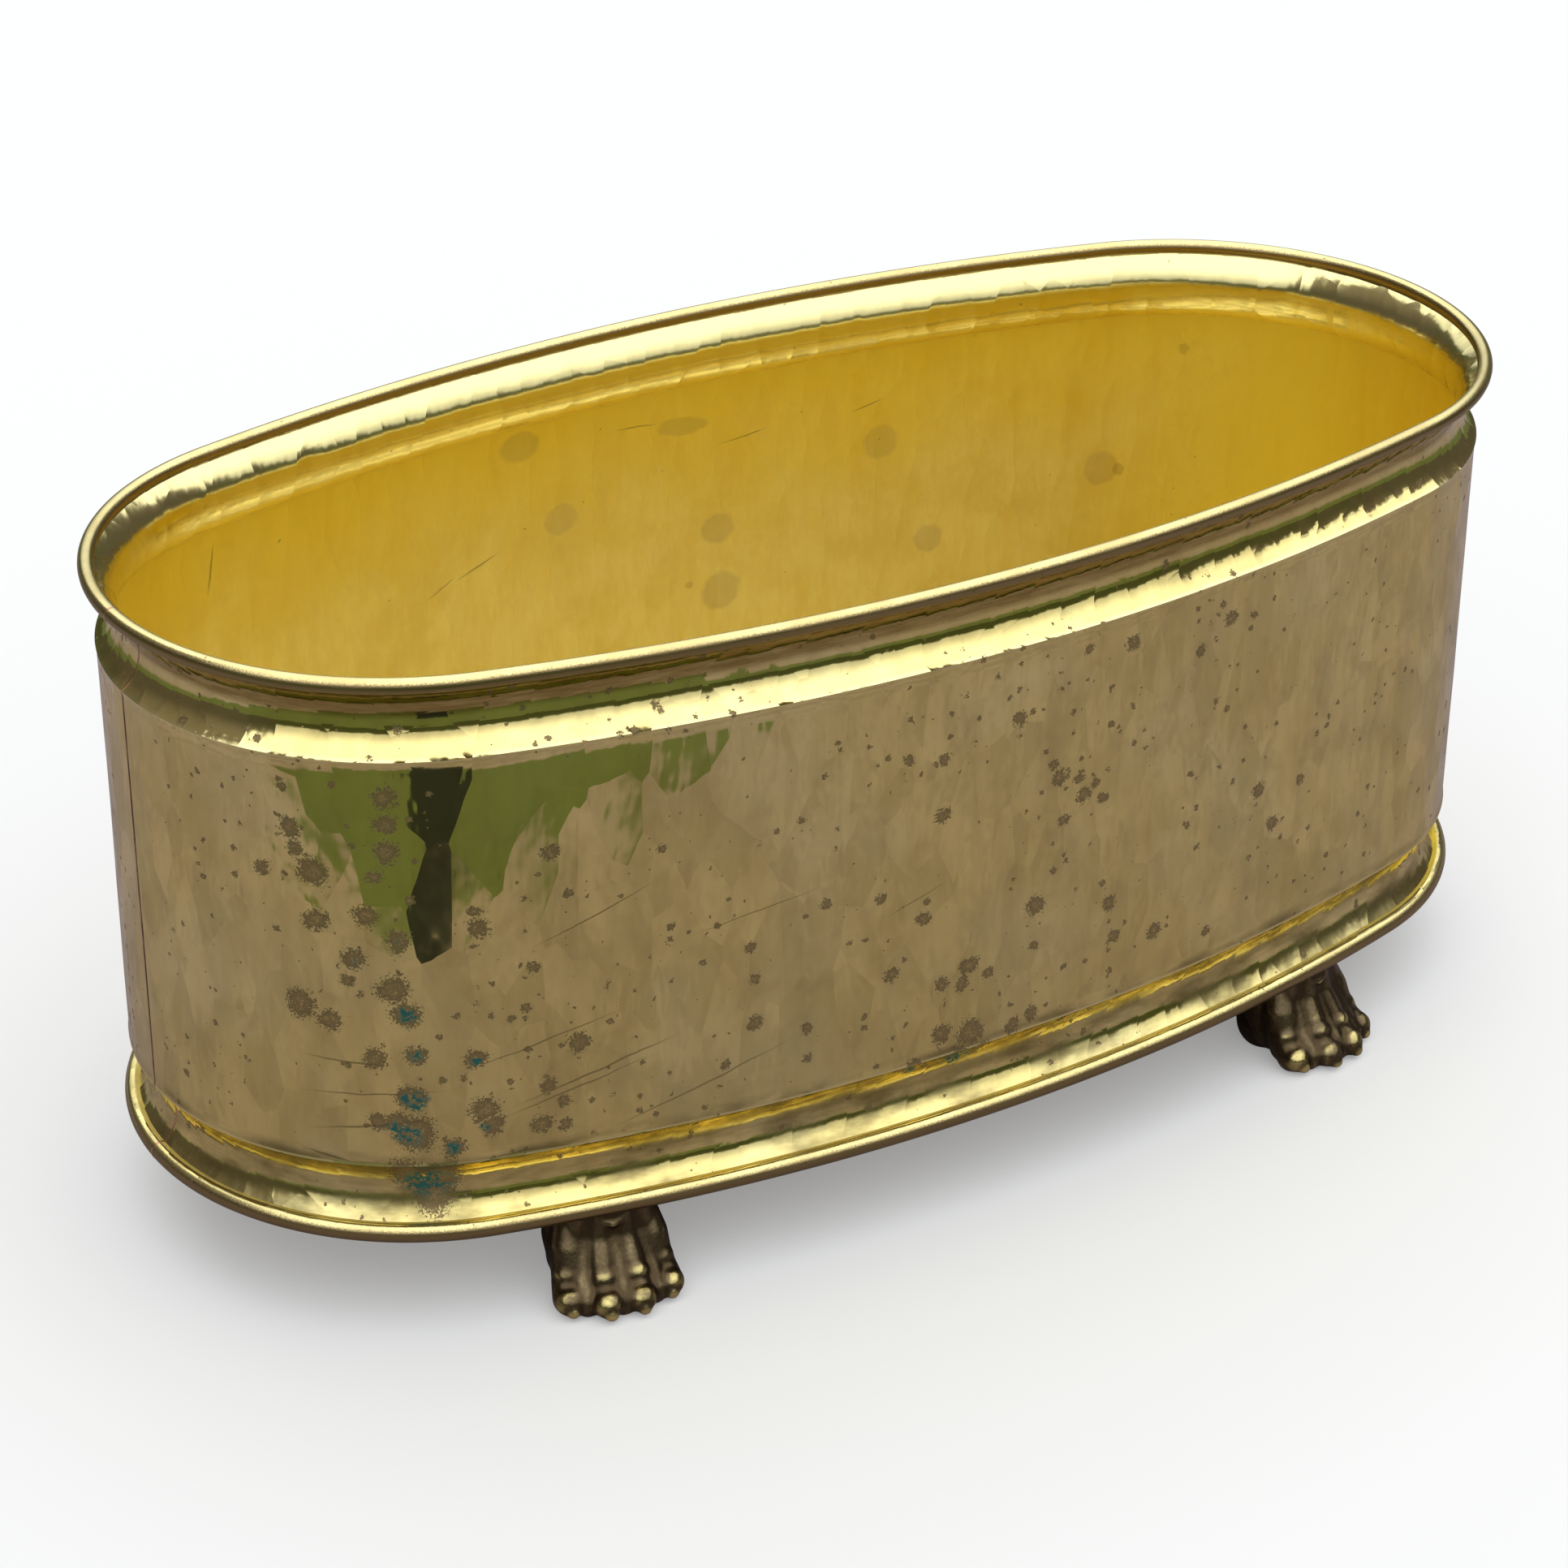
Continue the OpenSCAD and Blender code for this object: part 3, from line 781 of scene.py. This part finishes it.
def hammered_inside():
    """Duller golden brass, mottled from top to bottom, with drip stains"""
    f = Finish("hammered_brass_inside")
    plan = f.node("UVMap", {}, uv_map="along_and_up").outputs[0]
    up = f.part(f.solid, 2)
    tall = f.stretched(f.solid, (1, 1, 0.22))

    mottle = f.noise(tall, 6 * MM, 5.0, 0.6)
    clouds = f.noise(f.solid, 38 * MM, 4.0)
    metal = f.blend(f.ease(mottle, 0.35, 0.68), GOLD, GOLD_WARM)
    metal = f.blend(f.ease(clouds, 0.45, 0.8, 0.0, 0.6), metal, GOLD_PALE)

    stained = f.ease(f.nearest_mark(f.warped(plan, 4 * MM, 2.2 * MM), INSIDE_STAINS), 1.05, 0.75)
    ragged = f.warped(f.solid, 2.5 * MM, 2.4 * MM)
    drops = f.ease(f.scattered_spots(ragged, 15 * MM, 0.62, 0.14), 1.05, 0.7)
    specks = f.ease(f.scattered_spots(ragged, 5 * MM, 0.68, 0.1), 1.0, 0.6)
    scratched = f.ease(f.nearest_mark(f.warped(plan, 8 * MM, 1.4 * MM), INSIDE_SCRATCHES), 1.0, 0.3)
    soil = f.times(
        f.ease(up, BASE_CREASE_Z + 30 * MM, BASE_CREASE_Z - 10 * MM),
        f.ease(f.noise(ragged, 14 * MM, 5.0), 0.35, 0.7),
    )

    # Painted reflected light: a deeper, more saturated gold near the rim and at the right end,
    # standing in for the light that bounces around inside the pot
    near_rim = f.ease(f.plus(up, f.times(clouds, 50 * MM)), 125 * MM, 185 * MM)
    right_end = f.ease(f.part(f.solid, 0), 110 * MM, 190 * MM)
    bounce_tint = f.most(near_rim, right_end)
    polished = f.ease(up, RIM_CREASE_Z - 1 * MM, RIM_CREASE_Z + 2 * MM)
    patches = f.ease(f.noise(f.warped(f.solid, 20 * MM, 14 * MM), 26 * MM, 5.0), 0.42, 0.62)
    metal = f.blend(f.times(patches, 0.5), metal, GOLD_DULL)
    metal = f.blend(bounce_tint, metal, GOLD_BOUNCE_TINT)
    metal = f.blend(polished, metal, BRASS_PALE)
    shown = f.blend(f.times(stained, 0.3), metal, DRIP)
    shown = f.blend(f.times(drops, 0.28), shown, DROP)
    shown = f.blend(f.times(specks, 0.5), shown, GRIME)
    shown = f.blend(f.times(scratched, 0.5), shown, GRIME)
    shown = f.blend(f.times(soil, 0.22), shown, GRIME)

    rough = f.between(f.ease(mottle, 0.3, 0.7), 0.5, 0.6)
    rough = f.between(f.most(stained, soil), rough, 0.66)
    rough = f.between(polished, rough, 0.16)
    height = f.minus(mottle, f.times(f.most(scratched, specks), 0.5))
    dents = f.hammer_marks()
    return f.metal(shown, rough, f.bumped(height, 0.07 * MM, dents))


def rolled_edge():
    """Brass drawn tight over the wire: rubbed bright, finely pitted, tarnished and painted with
    shade where it faces down and curls in
    """
    f = Finish("rolled_edge_brass")
    fine = f.noise(f.solid, 0.45 * MM, 3.0, 0.65)
    clouds = f.noise(f.solid, 16 * MM, 4.0)
    facing = f.part(f.node("NewGeometry", {}).outputs["Normal"], 2)
    ragged = f.warped(f.solid, 1.2 * MM, 1 * MM)
    pits = f.ease(f.scattered_spots(ragged, 2.2 * MM, 0.45, 0.17), 1.0, 0.55)
    pits = f.times(pits, f.ease(f.noise(f.solid, 28 * MM, 2.0), 0.38, 0.56))
    # Tarnish and painted shade: the bead is darker the less its face points up
    tarnish_and_shade = f.ease(f.plus(facing, f.times(f.minus(fine, 0.5), 0.9)), 0.8, 0.38)
    metal = f.blend(f.ease(clouds, 0.35, 0.7), EDGE, EDGE_WARM)
    shown = f.blend(tarnish_and_shade, metal, TARNISH_AND_SHADE)
    shown = f.blend(f.times(pits, 0.75), shown, GRIME)
    rough = f.between(f.ease(clouds, 0.4, 0.75), 0.19, 0.28)
    rough = f.between(f.most(pits, f.times(tarnish_and_shade, 0.3)), rough, 0.5)
    height = f.minus(fine, pits)
    return f.metal(shown, rough, f.bumped(height, 0.05 * MM))


def cast_brass():
    """Cast brass, with brown patina and painted shade in its hollows, and rubbed bright on its
    crests
    """
    f = Finish("cast_brass")
    hollow = f.node("Attribute", {}, attribute_name="hollow").outputs["Fac"]
    fine = f.noise(f.solid, 0.9 * MM, 4.0)
    clouds = f.noise(f.solid, 6 * MM, 4.0)
    uneven = f.times(f.minus(clouds, 0.5), 0.9)
    level = f.plus(hollow, uneven)
    # Patina and painted shade: darker the deeper a point lies in a hollow, standing in for the
    # shade in the paw's recesses
    dark = f.ease(level, -0.28, 0.16)
    rubbed = f.ease(level, -0.22, -0.62)
    shown = f.blend(f.ease(fine, 0.35, 0.7), CAST, CAST_PALE)
    shown = f.blend(dark, shown, CAST_PATINA_AND_SHADE)
    shown = f.blend(rubbed, shown, BRASS)
    rough = f.between(dark, 0.24, 0.36)
    rough = f.between(rubbed, rough, 0.15)
    return f.metal(shown, rough, f.bumped(fine, 0.06 * MM))


def plate_brass():
    """Rolled plate that has carried damp pots: rolling lines, tide marks and dark stains"""
    f = Finish("plate_brass")
    rolled = f.noise(f.stretched(f.solid, (0.06, 1, 1)), 0.8 * MM, 3.0)
    ragged = f.warped(f.solid, 12 * MM, 10 * MM)
    tide = f.math("ABSOLUTE", f.minus(f.noise(ragged, 60 * MM, 3.0), 0.5))
    tide = f.ease(tide, 0.035, 0.0)
    stain = f.ease(f.noise(ragged, 34 * MM, 5.0), 0.42, 0.68)
    specks = f.ease(f.scattered_spots(ragged, 7 * MM, 0.5, 0.16), 1.0, 0.6)
    shown = f.blend(rolled, PLATE, PLATE_LINE)
    shown = f.blend(f.times(stain, 0.4), shown, OXIDE)
    shown = f.blend(f.times(tide, 0.7), shown, GRIME)
    shown = f.blend(f.times(specks, 0.6), shown, GRIME)
    rough = f.between(stain, 0.36, 0.58)
    return f.metal(shown, rough, f.bumped(f.plus(rolled, specks), 0.04 * MM))


def screw_brass():
    f = Finish("screw_brass")
    turned = f.noise(f.stretched(f.solid, (0.3, 0.3, 1)), 0.5 * MM, 3.0)
    dull = f.ease(f.noise(f.solid, 3 * MM, 4.0), 0.38, 0.66)
    shown = f.blend(turned, TURNED, TURNED_LINE)
    shown = f.blend(f.times(dull, 0.65), shown, OXIDE)
    return f.metal(shown, f.between(dull, 0.25, 0.5), f.bumped(turned, 0.03 * MM))


def soft_solder():
    f = Finish("soft_solder")
    lumps = f.noise(f.solid, 4 * MM, 4.0)
    dull = f.ease(f.noise(f.solid, 9 * MM, 4.0), 0.4, 0.66)
    shown = f.blend(lumps, SOLDER_DARK, SOLDER)
    shown = f.blend(f.times(dull, 0.7), shown, SOLDER_DULL)
    return f.metal(shown, f.between(dull, 0.34, 0.6), f.bumped(lumps, 0.3 * MM))


def drawn_wire():
    f = Finish("drawn_iron_wire")
    drawn = f.noise(f.solid, 0.8 * MM, 3.0)
    rust = f.ease(f.noise(f.solid, 5 * MM, 5.0), 0.48, 0.66)
    shown = f.blend(drawn, WIRE, WIRE_DARK)
    shown = f.blend(rust, shown, RUST)
    bare = f.between(rust, 1.0, 0.1)
    return f.metal(shown, f.between(rust, 0.38, 0.75), f.bumped(drawn, 0.05 * MM), bare)


def filed_braze():
    """Pinkish braze, bright across the grooves and darkened down the panel"""
    f = Finish("filed_braze")
    up = f.part(f.solid, 2)
    filed = f.noise(f.stretched(f.solid, (1, 1, 4)), 0.6 * MM, 3.0)
    worn = f.noise(f.solid, 7 * MM, 4.0)
    on_panel = f.times(
        f.ease(up, BASE_CREASE_Z - 2 * MM, BASE_CREASE_Z + 2 * MM),
        f.ease(up, RIM_CREASE_Z + 1 * MM, RIM_CREASE_Z - 3 * MM),
    )
    dark = f.times(on_panel, f.ease(worn, 0.3, 0.6, 0.45, 0.95))
    shown = f.blend(filed, BRAZE, BRAZE_PALE)
    shown = f.blend(dark, shown, BRAZE_DARK)
    return f.metal(shown, f.between(dark, 0.26, 0.45), f.bumped(filed, 0.04 * MM))


def coat(node, material):
    """Gives a CAD node its finish"""
    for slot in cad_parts[node].material_slots:
        slot.material = material


# ---------------------------------------------------------------- the studio

# The camera, in metres from the middle of the pot on the ground
LENS = 92.1
CAMERA_PLACE = (-0.5166, -0.8100, 0.5966)
CAMERA_YAW = radians(31.94)
CAMERA_PITCH = radians(28.37)
CAMERA_ROLL = radians(0.22)

PALE = (0.58, 0.58, 0.575, 1)
GLOW = (0.26, 0.26, 0.26, 1)
STONE = (0.290, 0.244, 0.260, 1)
STONE_DIM = (0.228, 0.194, 0.200, 1)
LAWN = (0.125, 0.142, 0.072, 1)
LAWN_DEEP = (0.092, 0.122, 0.045, 1)
SHADE = (0.022, 0.026, 0.024, 1)
SKY = (0.96, 0.98, 1.0, 1)
TREES = (0.080, 0.095, 0.040, 1)
HEDGE = (0.13, 0.115, 0.10, 1)
SKY_LIGHT = 1.75

# What only reflections see on the floor, in metres from the pot's middle: where the lawn
# starts along two ways, and the dark trunk that stands on it
LAWN_WAY, LAWN_START = (0.508, 0.861, 0), (-0.330, -0.334)
LAWN_SIDE_WAY, LAWN_SIDE_START = (0.97, 0.23, 0), (-0.102, -0.106)
LAWN_ALL_ROUND = (0.8, 1.3)
TRUNK_PLACE, TRUNK_SIZE = (-0.245, -0.36, 0), (0.05, 0.12, 1)
TRUNK_TURN = (0, 0, radians(-10))

# The line of trees: its height straight ahead, and how much it climbs to the left and right
SKYLINE = 0.17
LEFT_WAY, LEFT_CLIMB = (-0.80, 0.60, 0), 0.6
RIGHT_WAY, RIGHT_CLIMB = (1, 0, 0), 0.30


def place_camera():
    lens = bpy.data.cameras.new("camera")
    lens.lens = LENS
    camera = bpy.data.objects.new("camera", lens)
    turn = Matrix.Rotation(-CAMERA_YAW, 4, "Z") @ Matrix.Rotation(pi / 2 - CAMERA_PITCH, 4, "X")
    turn = turn @ Matrix.Rotation(CAMERA_ROLL, 4, "Z")
    camera.matrix_world = Matrix.Translation(CAMERA_PLACE) @ turn
    bpy.context.scene.collection.objects.link(camera)
    bpy.context.scene.camera = camera


def floor_finish():
    """A pale floor, which the polished metal mirrors as dim stone with a lawn beyond it"""
    f = Finish("pale_floor")
    ground = f.warped(f.solid, 0.05, 0.012)
    lawn = f.times(
        f.ease(f.along(ground, LAWN_WAY), *LAWN_START),
        f.ease(f.along(ground, LAWN_SIDE_WAY), *LAWN_SIDE_START),
    )
    lawn = f.most(lawn, f.ease(f.length(ground), *LAWN_ALL_ROUND))
    feeds = {"Vector": ground, "Location": TRUNK_PLACE, "Rotation": TRUNK_TURN, "Scale": TRUNK_SIZE}
    trunk = f.length(f.node("Mapping", feeds, vector_type="TEXTURE").outputs[0])
    trunk = f.ease(trunk, 1.03, 0.97)
    stone = f.blend(f.ease(f.noise(f.solid, 0.035, 4.0), 0.35, 0.65), STONE, STONE_DIM)
    grass = f.blend(f.noise(f.solid, 0.02, 4.0), LAWN, LAWN_DEEP)
    mirrored = f.blend(lawn, stone, grass)
    mirrored = f.blend(f.times(trunk, lawn), mirrored, SHADE)
    seen = f.node("AddShader", {
        0: f.node("BsdfDiffuse", {"Color": PALE}).outputs[0],
        1: f.node("Emission", {"Color": GLOW}).outputs[0],
    }).outputs[0]
    reflected = f.node("BsdfDiffuse", {"Color": mirrored}).outputs[0]
    glossy = f.node("LightPath", {}).outputs["Is Glossy Ray"]
    f.show(f.node("MixShader", {0: glossy, 1: seen, 2: reflected}).outputs[0])
    return f.material


def lay_floor():
    bm = bmesh.new()
    bmesh.ops.create_grid(bm, x_segments=1, y_segments=1, size=6)
    floor = finished(bm, "floor", floor_finish())


def light_studio():
    """A bright even sky, which is the only light, over a dark line of trees"""
    world = bpy.data.worlds.new("studio")
    bpy.context.scene.world = world
    w = Nodes(world, "ShaderNodeOutputWorld")
    way = w.node("TexCoord", {}).outputs["Generated"]
    up = w.part(way, 2)
    level = w.vector("MULTIPLY", way, (1, 1, 0))
    level = w.node("VectorMath", {0: level}, operation="NORMALIZE").outputs[0]
    to_left = w.along(level, LEFT_WAY)
    to_right = w.along(level, RIGHT_WAY)
    leaves = w.node("TexNoise", {"Vector": way, "Scale": 9.0, "Detail": 4.0}).outputs[0]
    skyline = w.plus(SKYLINE, w.ease(to_left, 0.55, 1.0, 0.0, LEFT_CLIMB))
    skyline = w.plus(skyline, w.ease(to_right, 0.6, 1.0, 0.0, RIGHT_CLIMB))
    above = w.minus(w.minus(up, skyline), w.times(w.minus(leaves, 0.5), 0.16))
    side = w.most(w.ease(to_left, 0.5, 0.95), w.ease(to_right, 0.6, 1.0))
    colour = w.blend(w.ease(above, 0.0, 0.07), w.blend(side, TREES, HEDGE), SKY)
    bright = w.ease(up, 0.2, 0.75, 0.75, SKY_LIGHT)
    w.show(w.node("Background", {"Color": colour, "Strength": bright}).outputs[0])

    bpy.context.scene.view_settings.view_transform = "Standard"


# ---------------------------------------------------------------- putting it together

place_camera()
light_studio()
lay_floor()

sheet = hammered_sheet(hammered_outside(), hammered_inside(), rolled_edge())
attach(sheet, ROOT)
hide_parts("body_shell")

seam = brazed_seam(filed_braze())
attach(seam, ROOT)
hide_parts("seam_braze")

lion_paws(cast_brass())

coat("base_plate", plate_brass())
coat("plate_solder", soft_solder())
wire_finish = drawn_wire()
for wire in ("rim_wire", "base_wire"):
    coat(wire, wire_finish)
fastener = screw_brass()
for corner in CORNERS:
    coat(corner + "_screw", fastener)
    coat(corner + "_washer", fastener)
